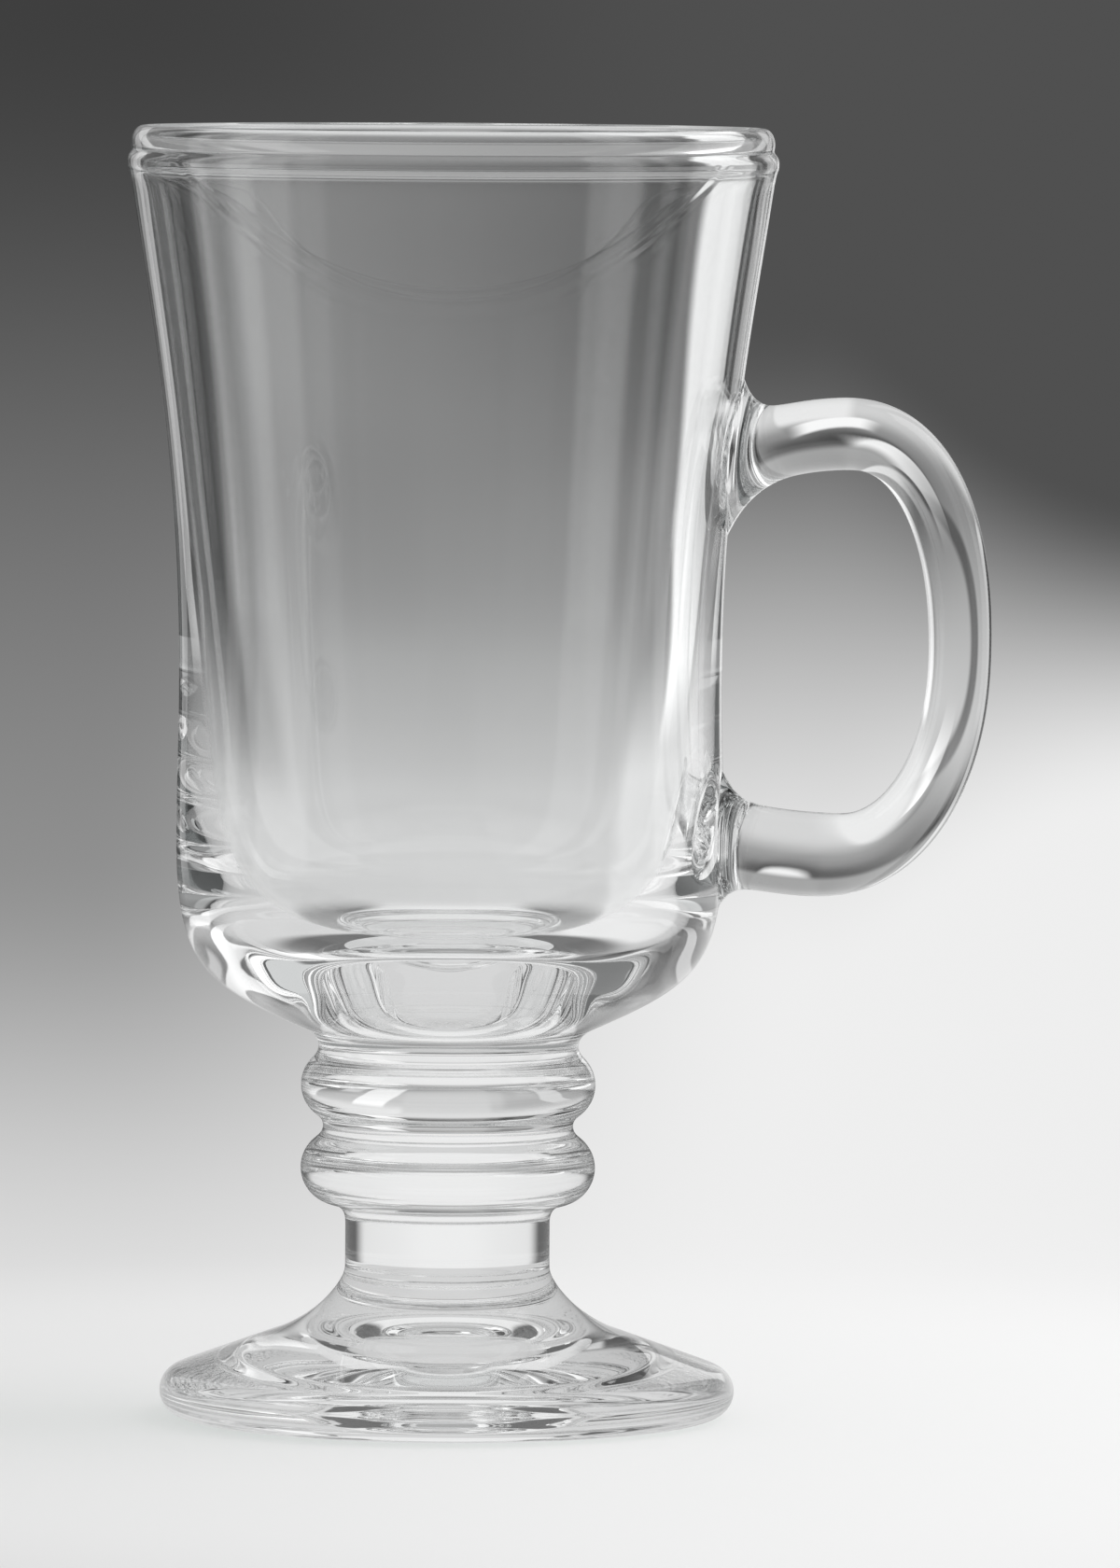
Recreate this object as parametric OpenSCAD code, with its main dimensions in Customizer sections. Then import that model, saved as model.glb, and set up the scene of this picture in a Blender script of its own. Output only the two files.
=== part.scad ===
// Footed glass coffee mug: a flared bowl with a D handle, a stem with two knops and a wide foot.
// Millimetres, +Z up. The origin is the centre of the foot's resting plane, and the handle points along +X.

/* [Overall] */
// Height from the table to the top of the lip
mug_h = 150; // [135:1:175]

/* [Lip] */
// Radius of the lip's outer side
lip_r = 37.3; // [34:0.1:42]
// Thickness of the rounded lip
lip_wall = 2.3; // [1.9:0.1:3]
// Height of the lip above the groove under it
lip_h = 2.8; // [2.3:0.1:4]
// Height of the lip's rounded shoulder
lip_round_h = 1.9; // [1:0.1:2.1]
// Depth of the groove under the lip
lip_groove = 0.15; // [0.05:0.05:0.4]
// How far the ring under the groove stands out past the lip
ring_out = 0.5; // [0.3:0.05:1]
// Height of the ring
ring_h = 2.4; // [1.6:0.1:4]

/* [Bowl] */
// Outer radius at the waist, the slimmest place of the wall
waist_r = 31.55; // [29:0.05:35]
// Height of the waist above the table
waist_z = 86; // [80:0.5:94]
// Outer radius of the belly, just above the rounded corner
belly_r = 31.8; // [29:0.1:36]
// Height of the belly above the table
belly_z = 67; // [63:0.5:72]
// Slope of the bowl's underside where it leaves the neck, in degrees
under_slope = 24; // [15:0.5:30]
// Lean of the wall just under the ring, in degrees
lip_lean = 8; // [4:0.5:12]
// Thickness of the wall under the ring
rim_wall = 1.45; // [1.2:0.05:2.2]
// Thickness of the wall at the waist's lower side, where the cavity starts to round in
low_wall = 3.35; // [2.5:0.05:5]
// Height above the table at which the cavity starts to round in
cavity_turn_z = 78; // [72:0.5:84]
// Radius of the cavity's dished floor
floor_r = 20; // [12:0.1:24]
// Height of the floor's lowest point above the table
floor_z = 50.8; // [50:0.1:57]
// Height that the floor's edge stands above its lowest point
floor_dish = 5; // [0.3:0.1:6]

/* [Handle] */
// Distance from the mug's axis to the handle's outermost point
handle_reach = 62.9; // [58:0.1:70]
// Height of the grip's middle above the table
grip_z = 90; // [87:0.5:94]
// Height of the upper arm's crown above the grip's middle, on the middle line
crown_rise = 24.7; // [21:0.1:27]
// Depth of the lower arm's heel below the grip's middle, on the middle line
heel_drop = 24.4; // [20:0.1:26]
// Distance from the mug's axis to the crown
crown_x = 46; // [43:0.1:49]
// Distance from the mug's axis to the heel
heel_x = 44; // [42:0.1:48]
// How far the upper arm falls from the crown to the wall
upper_fall = 2.9; // [0:0.1:5]
// How far the lower arm climbs from the heel to the wall
lower_climb = 1.8; // [0:0.1:4]
// Thickness of the upper arm, seen from the side
upper_thick = 8.5; // [6:0.1:10]
// Thickness of the grip, seen from the side
grip_thick = 7.3; // [5:0.1:10]
// Thickness of the lower arm, seen from the side
lower_thick = 9.9; // [7:0.1:12]
// Width of the arms across the handle
arm_wide = 9.6; // [8:0.1:13]
// Width of the grip across the handle
grip_wide = 8.2; // [7:0.1:13]
// How much the upper root swells above and below at the wall
upper_flare = 4.5; // [1:0.1:6]
// How much the lower root swells above and below at the wall
lower_flare = 3.2; // [1:0.1:4]
// Distance from the wall over which a root swells
root_run = 4.2; // [2:0.1:6]
// Distance from the wall over which the upper root swells on its inner side
throat_run = 7.5; // [3:0.1:9]

/* [Stem] */
// Radius of the neck between the bowl and the upper knop
neck_r = 15.1; // [12:0.1:16]
// Height of the neck above the table
neck_z = 43.1; // [42.6:0.1:44]
// Radius of the knops
knop_r = 17.15; // [16.6:0.05:18.6]
// Radius of the arc that rounds a knop, seen from the side
knop_round = 4.3; // [3:0.1:4.5]
// Height of the upper knop's widest place above the table
upper_knop_z = 38.6; // [38.3:0.1:38.8]
// Radius of the groove between the knops
groove_r = 14.5; // [13:0.1:15]
// Height of the groove above the table
groove_z = 33.8; // [33.6:0.1:34]
// Height of the lower knop's widest place above the table
lower_knop_z = 28.9; // [28.7:0.1:29.1]
// Radius of the shank
shank_r = 11.9; // [10:0.1:13]
// Height at which the lower knop runs out into the shank
shank_top_z = 22.9; // [22.4:0.1:23.2]
// Height of the fine line round the shank, where the foot begins
shank_line_z = 18.3; // [17.8:0.1:20]

/* [Foot] */
// Radius of the foot
foot_r = 33.5; // [29:0.1:38]
// Radius of the foot's rounded edge
edge_round = 2.9; // [2:0.1:3.4]
// Slope of the foot's upper side, in degrees
foot_slope = 20; // [15:0.5:22]
// Height at which the foot leaves the shank's side
spread_z = 17.2; // [16.4:0.1:17.7]
// How far out from the shank the foot's upper side is hollow before it runs straight
spread_wide = 8; // [5:0.1:10]
// Width of the flat ring that the mug rests on
bearing_wide = 6; // [3:0.1:9]
// Depth of the shallow hollow inside the bearing ring
hollow_deep = 0.6; // [0.3:0.05:1.2]
// Width of the slope from the bearing ring up into the hollow
hollow_run = 2.5; // [1:0.1:4]
// Radius of the domed kick-up under the foot's centre
kick_r = 11.2; // [8:0.1:12]
// Height of the kick-up's top above the table
kick_z = 6.8; // [5:0.1:9]
// Width of the fillet round the kick-up
kick_skirt = 2.2; // [0.5:0.1:3]

/* [Hidden] */

glass = [0.84, 0.88, 0.87, 0.45];

// Steps along an arc, along a plain curve and along a long one
arc_steps = 7;
curve_steps = 6;
long_steps = 14;
$fn = 96;

function mix(a, b, t) = a + (b - a) * t;

// Stretches of an outline in [radius, height]. Each leaves out its first point, where the last one ends.
function arc(middle, rx, rz, from, to) = [
    for (i = [1 : arc_steps])
        let (w = from + (to - from) * i / arc_steps)
        middle + [rx * cos(w), rz * sin(w)]
];
function bend(a, b, c, steps) = [
    for (i = [1 : steps])
        let (t = i / steps)
        pow(1 - t, 2) * a + 2 * t * (1 - t) * b + pow(t, 2) * c
];
function sweep(a, b, c, d, steps) = [
    for (i = [1 : steps])
        let (t = i / steps)
        pow(1 - t, 3) * a + 3 * pow(1 - t, 2) * t * b + 3 * (1 - t) * pow(t, 2) * c + pow(t, 3) * d
];

// A knop's arc and the arc of the groove next to it touch where their middles line up.
// Their radii then add up to touch_sum, and touch_turn is the angle of that line.
function touch_sum(knop, groove) =
    (pow(knop[0] - groove[0], 2) + pow(knop[1] - groove[1], 2)) / (2 * (knop[0] - groove[0]));
function touch_turn(knop, groove) =
    atan2(groove[1] - knop[1], touch_sum(knop, groove) - knop[0] + groove[0]);
function groove_arc(knop, groove, from, to) =
    let (round = touch_sum(knop, groove) - knop_round)
    arc(groove + [round, 0], round, round, from, to);
function knop_arc(knop, from, to) =
    arc(knop - [knop_round, 0], knop_round, knop_round, from, to);
function out_of_groove(knop, groove) =
    let (turn = touch_turn(knop, groove))
    concat(groove_arc(knop, groove, 180, 180 + turn), knop_arc(knop, turn, 0));
function into_groove(knop, groove) =
    let (turn = touch_turn(knop, groove))
    concat(knop_arc(knop, 0, turn), groove_arc(knop, groove, 180 + turn, 180));

// Bowl, outer side: underside, rounded corner, belly, waist and flared wall
neck_blend = 1.3;
neck_run_share = 1.4;
under_share = 0.8;
corner_share = 0.61;
waist_share = 0.37;
flare_low_share = 0.44;
flare_top_share = 0.27;
under = [1, tan(under_slope)];
neck = [neck_r, neck_z];
neck_top = neck + [0, neck_blend];
neck_out = neck_top + neck_run_share * neck_blend * under;
belly = [belly_r, belly_z];
waist = [waist_r, waist_z];
waist_pull = [0, waist_share * (waist_z - belly_z)];
groove_top_z = mug_h - lip_h;
ring_low_z = groove_top_z - ring_h;
wall_top = [lip_r + lip_groove, ring_low_z];
flare_rise = ring_low_z - waist_z;
outer_wall = concat(
    [neck],
    bend(neck, neck_top, neck_out, curve_steps),
    sweep(neck_out,
          neck_top + under_share * (belly_r - neck_r) * under,
          belly - [0, corner_share * (belly_z - neck_z)],
          belly, long_steps),
    sweep(belly, belly + waist_pull, waist - waist_pull, waist, curve_steps),
    sweep(waist,
          waist + [0, flare_low_share * flare_rise],
          wall_top - flare_top_share * flare_rise * [tan(lip_lean), 1],
          wall_top, long_steps)
);

// Ring, groove and lip
lip_crown_share = 0.6;
lip_in_share = 0.6;
bead_share = 0.45;
ring_r = lip_r + ring_out;
ring_mid = [ring_r, ring_low_z + ring_h / 2];
lip_groove_at = [lip_r - lip_groove, groove_top_z];
lip_side = [lip_r, mug_h - lip_round_h];
lip_crown_r = lip_r - lip_crown_share * lip_wall;
lip_in_round = [lip_crown_r - lip_r + lip_wall, lip_in_share * lip_round_h];
outer_lip = concat(
    bend(wall_top, [ring_r, ring_low_z], ring_mid, curve_steps),
    bend(ring_mid, [ring_r, (ring_mid[1] + groove_top_z) / 2], lip_groove_at, curve_steps),
    bend(lip_groove_at, [lip_r, (groove_top_z + lip_side[1]) / 2], lip_side, curve_steps),
    arc([lip_crown_r, lip_side[1]], lip_r - lip_crown_r, lip_round_h, 0, 90),
    arc([lip_crown_r, mug_h - lip_in_round[1]], lip_in_round[0], lip_in_round[1], 90, 180)
);

// Cavity: from the lip down the wall, round the corner and across the dished floor
cavity_r_share = 0.35;
cavity_z_share = 0.61;
turn_share = 0.52;
floor_turn_share = 0.71;
cavity_lip = [lip_r - lip_wall, mug_h - lip_in_round[1]];
cavity_top = [wall_top[0] - rim_wall, ring_low_z + ring_h / 4];
cavity_turn = [waist_r - low_wall, cavity_turn_z];
cavity_bend = cavity_turn
    + [cavity_r_share * (cavity_top[0] - cavity_turn[0]), cavity_z_share * (cavity_top[1] - cavity_turn_z)];
bead_drop = bead_share * (cavity_lip[1] - cavity_top[1]);
top_lean = (cavity_top[0] - cavity_bend[0]) / (cavity_top[1] - cavity_bend[1]);
floor_edge = [floor_r, floor_z + floor_dish];
turn_lean = (cavity_bend[0] - cavity_turn[0]) / (cavity_bend[1] - cavity_turn_z);
turn_drop = turn_share * (cavity_turn_z - floor_edge[1]);
floor_pull = floor_turn_share * (cavity_turn[0] - floor_r);
floor_rise = 2 * floor_dish / floor_r;
cavity = concat(
    sweep(cavity_lip, cavity_lip - [0, bead_drop], cavity_top + bead_drop * [top_lean, 1],
          cavity_top, curve_steps),
    bend(cavity_top, cavity_bend, cavity_turn, long_steps),
    sweep(cavity_turn, cavity_turn - turn_drop * [turn_lean, 1], floor_edge + floor_pull * [1, floor_rise],
          floor_edge, long_steps),
    bend(floor_edge, [floor_r / 2, floor_z], [0, floor_z], long_steps)
);

module bowl() {
    color(glass)
        rotate_extrude()
            polygon(concat([[0, neck_z]], outer_wall, outer_lip, cavity));
}

// The bowl without its cavity, up to the ring: what the handle's roots are fitted to
module bowl_mass() {
    rotate_extrude()
        polygon(concat([[0, neck_z]], outer_wall, [[0, ring_low_z]]));
}

// Handle: an oval section swept along two arms and round two quarter turns.
// Both roots swell into the wall in a fillet that follows the bowl's own curve, and are cut to it.
handle_sides = 24;
root_steps = 6;
arm_steps = 4;
turn_steps = 12;
root_sink = 3;
root_meet = 72;
upper_turn_power = 2.25;
lower_turn_power = 2.15;
heel_swell_power = 2.5;
section_power = 2.05;
side_flare_share = 0.6;
crown = [crown_x, grip_z + crown_rise];
heel = [heel_x, grip_z - heel_drop];
grip_x = handle_reach - grip_thick / 2;
wall_places = [for (p = outer_wall) [p[1], p[0]]];
function wall_r(z) = lookup(z, wall_places);
function root_of(end, climb) = [wall_r(end[1] + climb), end[1] + climb];

function oval(t) = sign(t) * pow(abs(t), 2 / section_power);

// Ring round an arm. Stage 0 is the turn, in degrees, that is left of the root's fillet,
// and stage 1 is the share of the plain arm that lies behind.
function arm_ring(end, climb, out, thick, swell, throat, stage, sink) =
    let (root = root_of(end, climb),
         grown = swell * (1 - cos(stage[0])) / (1 - cos(root_meet)))
    [for (j = [0 : handle_sides - 1])
        let (w = 360 * j / handle_sides,
             rise = out * oval(cos(w)),
             across = oval(sin(w)),
             seat_y = (arm_wide / 2 + side_flare_share * swell) * across,
             seat_r = wall_r(root[1] + (thick / 2 + swell) * rise),
             seat_x = sqrt(pow(seat_r, 2) - pow(seat_y, 2)) - sink,
             run = mix(throat, root_run, (1 + out * rise) / 2),
             x = mix(seat_x + run * (sin(root_meet) - sin(stage[0])), end[0], stage[1]),
             middle_z = mix(end[1], root[1], pow((end[0] - x) / (end[0] - root[0]), 2)))
        [x, (arm_wide / 2 + side_flare_share * grown) * across, middle_z + (thick / 2 + grown) * rise]];

// Point of a quarter turn's middle line, fuller than an ellipse, from crown or heel (0) to grip (90)
function turn_point(end, power, w) = [
    mix(end[0], grip_x, pow(sin(w), 2 / power)),
    mix(grip_z, end[1], pow(cos(w), 2 / power))
];
// Ring round a quarter turn, square to its middle line
function turn_ring(end, out, power, thick, swell_power, w) =
    let (middle = turn_point(end, power, w),
         along = turn_point(end, power, min(w + 1, 90)) - turn_point(end, power, max(w - 1, 0)),
         square = out * [-along[1], along[0]] / norm(along),
         share = pow(1 - w / 90, swell_power))
    [for (j = [0 : handle_sides - 1])
        let (v = 360 * j / handle_sides,
             rise = mix(grip_thick, thick, share) / 2 * oval(cos(v)),
             side = mix(grip_wide, arm_wide, share) / 2 * oval(sin(v)))
        [middle[0] + rise * square[0], side, middle[1] + rise * square[1]]];

arm_stages = concat(
    [for (i = [0 : root_steps]) [root_meet * (1 - i / root_steps), 0]],
    [for (i = [1 : arm_steps]) [0, i / arm_steps]]
);
last_stage = len(arm_stages) - 1;
function upper_arm_ring(i, sink) =
    arm_ring(crown, -upper_fall, 1, upper_thick, upper_flare, throat_run, arm_stages[i], sink);
function lower_arm_ring(i, sink) =
    arm_ring(heel, lower_climb, -1, lower_thick, lower_flare, root_run, arm_stages[i], sink);
function upper_turn_ring(w) = turn_ring(crown, 1, upper_turn_power, upper_thick, 1, w);
function lower_turn_ring(w) = turn_ring(heel, -1, lower_turn_power, lower_thick, heel_swell_power, w);
rings = concat(
    [upper_arm_ring(0, root_sink)],
    [for (i = [0 : last_stage]) upper_arm_ring(i, 0)],
    [for (i = [1 : turn_steps]) upper_turn_ring(90 * i / turn_steps)],
    [for (i = [turn_steps - 1 : -1 : 1]) lower_turn_ring(90 * i / turn_steps)],
    [for (i = [last_stage : -1 : 0]) lower_arm_ring(i, 0)],
    [lower_arm_ring(0, root_sink)]
);

module handle_sweep() {
    last = len(rings) - 1;
    points = [for (ring = rings) each ring];
    walls = [
        for (i = [0 : last - 1], j = [0 : handle_sides - 1])
            let (k = (j + 1) % handle_sides, a = i * handle_sides, b = a + handle_sides)
            each [[a + j, b + j, b + k], [a + j, b + k, a + k]]
    ];
    near_cap = [for (j = [0 : handle_sides - 1]) j];
    far_cap = [for (j = [handle_sides - 1 : -1 : 0]) last * handle_sides + j];
    polyhedron(points, concat([near_cap], walls, [far_cap]));
}

module handle() {
    color(glass)
        difference() {
            handle_sweep();
            bowl_mass();
        }
}

// Stem: shank, lower knop, groove, upper knop and neck
upper_knop = [knop_r, upper_knop_z];
lower_knop = [knop_r, lower_knop_z];
knop_groove = [groove_r, groove_z];
shank_top = [shank_r, shank_top_z];
shank_line = [shank_r, shank_line_z];

module stem() {
    color(glass)
        rotate_extrude()
            polygon(concat(
                [[0, shank_line_z], shank_line, shank_top],
                out_of_groove(lower_knop, shank_top),
                into_groove(lower_knop, knop_groove),
                out_of_groove(upper_knop, knop_groove),
                into_groove(upper_knop, neck),
                [[0, neck_z]]
            ));
}

// Foot: the spread below the shank, the sloping disc, its rounded edge, the bearing ring and the underside
edge_turn = 90 - foot_slope;
edge_middle = [foot_r - edge_round, edge_round];
edge_top = edge_middle + edge_round * [cos(edge_turn), sin(edge_turn)];
spread_start = [shank_r, spread_z];
spread_low_share = 0.36;
spread_top_share = 0.3;
function on_slope(r) = [r, edge_top[1] + (edge_top[0] - r) * tan(foot_slope)];
bearing_in = edge_middle[0] - bearing_wide;
kick_turn = 25;
kick_rise = kick_z - hollow_deep;
kick_start = [kick_r * cos(kick_turn), hollow_deep + kick_rise * sin(kick_turn)];

module foot() {
    color(glass)
        rotate_extrude()
            polygon(concat(
                [[0, shank_line_z], shank_line, spread_start],
                sweep(spread_start,
                      mix(spread_start, on_slope(shank_r), spread_top_share),
                      on_slope(shank_r + spread_low_share * spread_wide),
                      on_slope(shank_r + spread_wide), long_steps),
                [edge_top],
                arc(edge_middle, edge_round, edge_round, edge_turn, -90),
                [[bearing_in, 0], [bearing_in - hollow_run, hollow_deep],
                 [kick_r + kick_skirt, hollow_deep]],
                bend([kick_r + kick_skirt, hollow_deep], [kick_r, hollow_deep], kick_start, curve_steps),
                arc([0, hollow_deep], kick_r, kick_rise, kick_turn, 90)
            ));
}

bowl();
handle();
stem();
foot();
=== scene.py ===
"""Looks of the footed glass coffee mug: clear pressed glass, a pale floor and soft studio light."""

import math
from typing import NamedTuple

import bpy
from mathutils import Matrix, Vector, geometry


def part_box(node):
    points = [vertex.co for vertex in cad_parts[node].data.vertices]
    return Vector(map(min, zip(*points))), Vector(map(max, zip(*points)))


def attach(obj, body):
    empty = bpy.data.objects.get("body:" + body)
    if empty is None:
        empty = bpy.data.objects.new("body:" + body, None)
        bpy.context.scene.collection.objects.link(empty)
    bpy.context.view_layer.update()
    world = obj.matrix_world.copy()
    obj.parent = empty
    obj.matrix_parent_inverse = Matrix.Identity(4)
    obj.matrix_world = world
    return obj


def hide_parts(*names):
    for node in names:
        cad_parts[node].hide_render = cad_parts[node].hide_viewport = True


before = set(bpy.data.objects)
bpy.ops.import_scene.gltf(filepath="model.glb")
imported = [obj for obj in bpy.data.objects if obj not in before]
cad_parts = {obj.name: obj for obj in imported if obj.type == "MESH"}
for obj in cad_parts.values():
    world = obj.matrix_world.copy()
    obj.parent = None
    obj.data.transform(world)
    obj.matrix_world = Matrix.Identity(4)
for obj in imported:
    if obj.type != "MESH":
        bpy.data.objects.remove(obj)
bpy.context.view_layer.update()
MM = 0.001

# Sizes of the mug in millimetres. The heights of the whole mug and of its two joints come from the frame.
mug_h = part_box("bowl")[1].z / MM
neck_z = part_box("bowl")[0].z / MM
shank_line_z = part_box("foot")[1].z / MM

# Lip and ring
lip_r = 37.3
lip_wall = 2.3
lip_h = 2.8
lip_round_h = 1.9
lip_groove = 0.15
ring_out = 0.5
ring_h = 2.4

# Bowl
waist_r, waist_z = 31.55, 86
belly_r, belly_z = 31.8, 67
under_slope = 24
lip_lean = 8
rim_wall = 1.45
low_wall = 3.35
cavity_turn_z = 78
floor_r, floor_z = 20, 50.8
floor_dish = 5

# Handle
handle_reach = 62.9
grip_z = 90
crown_rise, heel_drop = 24.7, 24.4
crown_x, heel_x = 46, 44
upper_fall, lower_climb = 2.9, 1.8
upper_thick, grip_thick, lower_thick = 8.5, 7.3, 9.9
arm_wide, grip_wide = 9.6, 8.2
upper_flare, lower_flare = 4.5, 3.2
root_run, throat_run = 4.2, 7.5

# Stem
neck_r = 15.1
knop_r, knop_round = 17.15, 4.3
upper_knop_z, lower_knop_z = 38.6, 28.9
groove_r, groove_z = 14.5, 33.8
shank_r, shank_top_z = 11.9, 22.9

# Foot
foot_r, edge_round = 33.5, 2.9
foot_slope = 20
spread_z, spread_wide = 17.2, 8
bearing_wide = 6
hollow_deep, hollow_run = 0.6, 2.5
kick_r, kick_z, kick_skirt = 11.2, 6.8, 2.2

# Fineness of the glass meshes: sides round the axis, and steps along an outline in millimetres
SIDES = 192
LIP_STEP = 0.16
KNOP_STEP = 0.3
EDGE_STEP = 0.3
CORNER_STEP = 0.6
WALL_STEP = 1.2
EASE_PASSES = 3


def mix(a, b, t):
    return a + (b - a) * t


def turn_of(degrees):
    return Vector((math.cos(math.radians(degrees)), math.sin(math.radians(degrees))))


def point(r, z):
    return Vector((r, z))


# Stretches of an outline, as points (radius, height)
FINE = 96


def arc(middle, rx, rz, start, end):
    turns = [turn_of(mix(start, end, i / FINE)) for i in range(FINE + 1)]
    return [middle + point(rx * t.x, rz * t.y) for t in turns]


def bend(a, b, c):
    return [mix(mix(a, b, t), mix(b, c, t), t) for t in (i / FINE for i in range(FINE + 1))]


def sweep(a, b, c, d):
    return [
        mix(mix(mix(a, b, t), mix(b, c, t), t), mix(mix(b, c, t), mix(c, d, t), t), t)
        for t in (i / FINE for i in range(FINE + 1))
    ]


def evenly(points, step):
    """The same stretch with points about step apart, its two ends kept."""
    lengths = [0.0]
    for a, b in zip(points, points[1:]):
        lengths.append(lengths[-1] + (b - a).length)
    count = max(2, round(lengths[-1] / step))
    out, k = [points[0]], 0
    for i in range(1, count):
        want = lengths[-1] * i / count
        while lengths[k + 1] < want:
            k += 1
        out.append(mix(points[k], points[k + 1], (want - lengths[k]) / (lengths[k + 1] - lengths[k])))
    return out + [points[-1]]


def joined(*stretches):
    """One outline of several stretches, each a pair of points and step."""
    outline = []
    for points, step in stretches:
        outline += evenly(points, step)[1 if outline else 0:]
    return outline


def eased(points, passes=EASE_PASSES):
    """The outline with its corners melted a little, as fire polishing leaves them."""
    for _ in range(passes):
        inner = [(a + 2 * b + c) / 4 for a, b, c in zip(points, points[1:], points[2:])]
        points = [points[0]] + inner + [points[-1]]
    return points


# Foot: from the kick-up's middle out under the foot, round the edge and up to the fine line
edge_turn = 90 - foot_slope
edge_middle = point(foot_r - edge_round, edge_round)
edge_top = edge_middle + edge_round * turn_of(edge_turn)
bearing_in = edge_middle.x - bearing_wide
kick_turn = 25
kick_rise = kick_z - hollow_deep
kick_middle = point(0, hollow_deep)
kick_start = kick_middle + point(kick_r * turn_of(kick_turn).x, kick_rise * turn_of(kick_turn).y)
kick_skirt_out = point(kick_r + kick_skirt, hollow_deep)


def on_slope(r):
    return point(r, edge_top.y + (edge_top.x - r) * math.tan(math.radians(foot_slope)))


def foot_outline():
    spread_start = point(shank_r, spread_z)
    spread_low_share, spread_top_share = 0.36, 0.3
    low_pull = mix(spread_start, on_slope(shank_r), spread_top_share)
    return joined(
        (arc(kick_middle, kick_r, kick_rise, 90, kick_turn), EDGE_STEP),
        (bend(kick_start, point(kick_r, hollow_deep), kick_skirt_out), EDGE_STEP),
        ([kick_skirt_out, point(bearing_in - hollow_run, hollow_deep)], EDGE_STEP),
        ([point(bearing_in - hollow_run, hollow_deep), point(bearing_in, 0)], EDGE_STEP),
        ([point(bearing_in, 0), point(edge_middle.x, 0)], EDGE_STEP),
        (arc(edge_middle, edge_round, edge_round, -90, edge_turn), EDGE_STEP),
        ([edge_top, on_slope(shank_r + spread_wide)], CORNER_STEP),
        (sweep(on_slope(shank_r + spread_wide), on_slope(shank_r + spread_low_share * spread_wide),
               low_pull, spread_start), EDGE_STEP),
        ([spread_start, point(shank_r, shank_line_z)], EDGE_STEP),
    )


# Stem: shank, lower knop, groove, upper knop and neck
def touch_sum(knop, groove):
    return (knop - groove).length_squared / (2 * (knop.x - groove.x))


def groove_to_knop(knop, groove):
    """The arc that leaves a groove and the knop's arc that it touches, up to the knop's widest place."""
    radii = touch_sum(knop, groove)
    turn = math.degrees(math.atan2(groove.y - knop.y, radii - knop.x + groove.x))
    hollow = radii - knop_round
    out = arc(groove + point(hollow, 0), hollow, hollow, 180, 180 + turn)
    return out + arc(knop - point(knop_round, 0), knop_round, knop_round, turn, 0)[1:]


def stem_outline():
    neck = point(neck_r, neck_z)
    middle = point(groove_r, groove_z)
    shank_top = point(shank_r, shank_top_z)
    lower, upper = point(knop_r, lower_knop_z), point(knop_r, upper_knop_z)
    return joined(
        ([point(shank_r, shank_line_z), shank_top], KNOP_STEP),
        (groove_to_knop(lower, shank_top), KNOP_STEP),
        (groove_to_knop(lower, middle)[::-1], KNOP_STEP),
        (groove_to_knop(upper, middle), KNOP_STEP),
        (groove_to_knop(upper, neck)[::-1], KNOP_STEP),
    )


# Bowl: underside, corner, belly, waist, flared wall, ring, lip and cavity
ring_low_z = mug_h - lip_h - ring_h


def wall_outline():
    neck_blend, neck_run_share = 1.3, 1.4
    under_share, corner_share, waist_share = 0.8, 0.61, 0.37
    flare_low_share, flare_top_share = 0.44, 0.27
    under = point(1, math.tan(math.radians(under_slope)))
    neck = point(neck_r, neck_z)
    neck_top = neck + point(0, neck_blend)
    neck_out = neck_top + neck_run_share * neck_blend * under
    belly, waist = point(belly_r, belly_z), point(waist_r, waist_z)
    waist_pull = point(0, waist_share * (waist_z - belly_z))
    wall_top = point(lip_r + lip_groove, ring_low_z)
    flare_rise = ring_low_z - waist_z
    lean = point(math.tan(math.radians(lip_lean)), 1)
    return joined(
        (bend(neck, neck_top, neck_out), KNOP_STEP),
        (sweep(neck_out, neck_top + under_share * (belly_r - neck_r) * under,
               belly - point(0, corner_share * (belly_z - neck_z)), belly), CORNER_STEP),
        (sweep(belly, belly + waist_pull, waist - waist_pull, waist), WALL_STEP),
        (sweep(waist, waist + point(0, flare_low_share * flare_rise),
               wall_top - flare_top_share * flare_rise * lean, wall_top), WALL_STEP),
    )


def lip_outline():
    crown_share, in_share = 0.6, 0.6
    groove_top_z = mug_h - lip_h
    wall_top = point(lip_r + lip_groove, ring_low_z)
    ring_r = lip_r + ring_out
    ring_mid = point(ring_r, ring_low_z + ring_h / 2)
    groove_at = point(lip_r - lip_groove, groove_top_z)
    side = point(lip_r, mug_h - lip_round_h)
    crown_r = lip_r - crown_share * lip_wall
    in_r, in_h = crown_r - lip_r + lip_wall, in_share * lip_round_h
    return joined(
        (bend(wall_top, point(ring_r, ring_low_z), ring_mid), LIP_STEP),
        (bend(ring_mid, point(ring_r, (ring_mid.y + groove_top_z) / 2), groove_at), LIP_STEP),
        (bend(groove_at, point(lip_r, (groove_top_z + side.y) / 2), side), LIP_STEP),
        (arc(point(crown_r, side.y), lip_r - crown_r, lip_round_h, 0, 90), LIP_STEP),
        (arc(point(crown_r, mug_h - in_h), in_r, in_h, 90, 180), LIP_STEP),
    )


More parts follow.
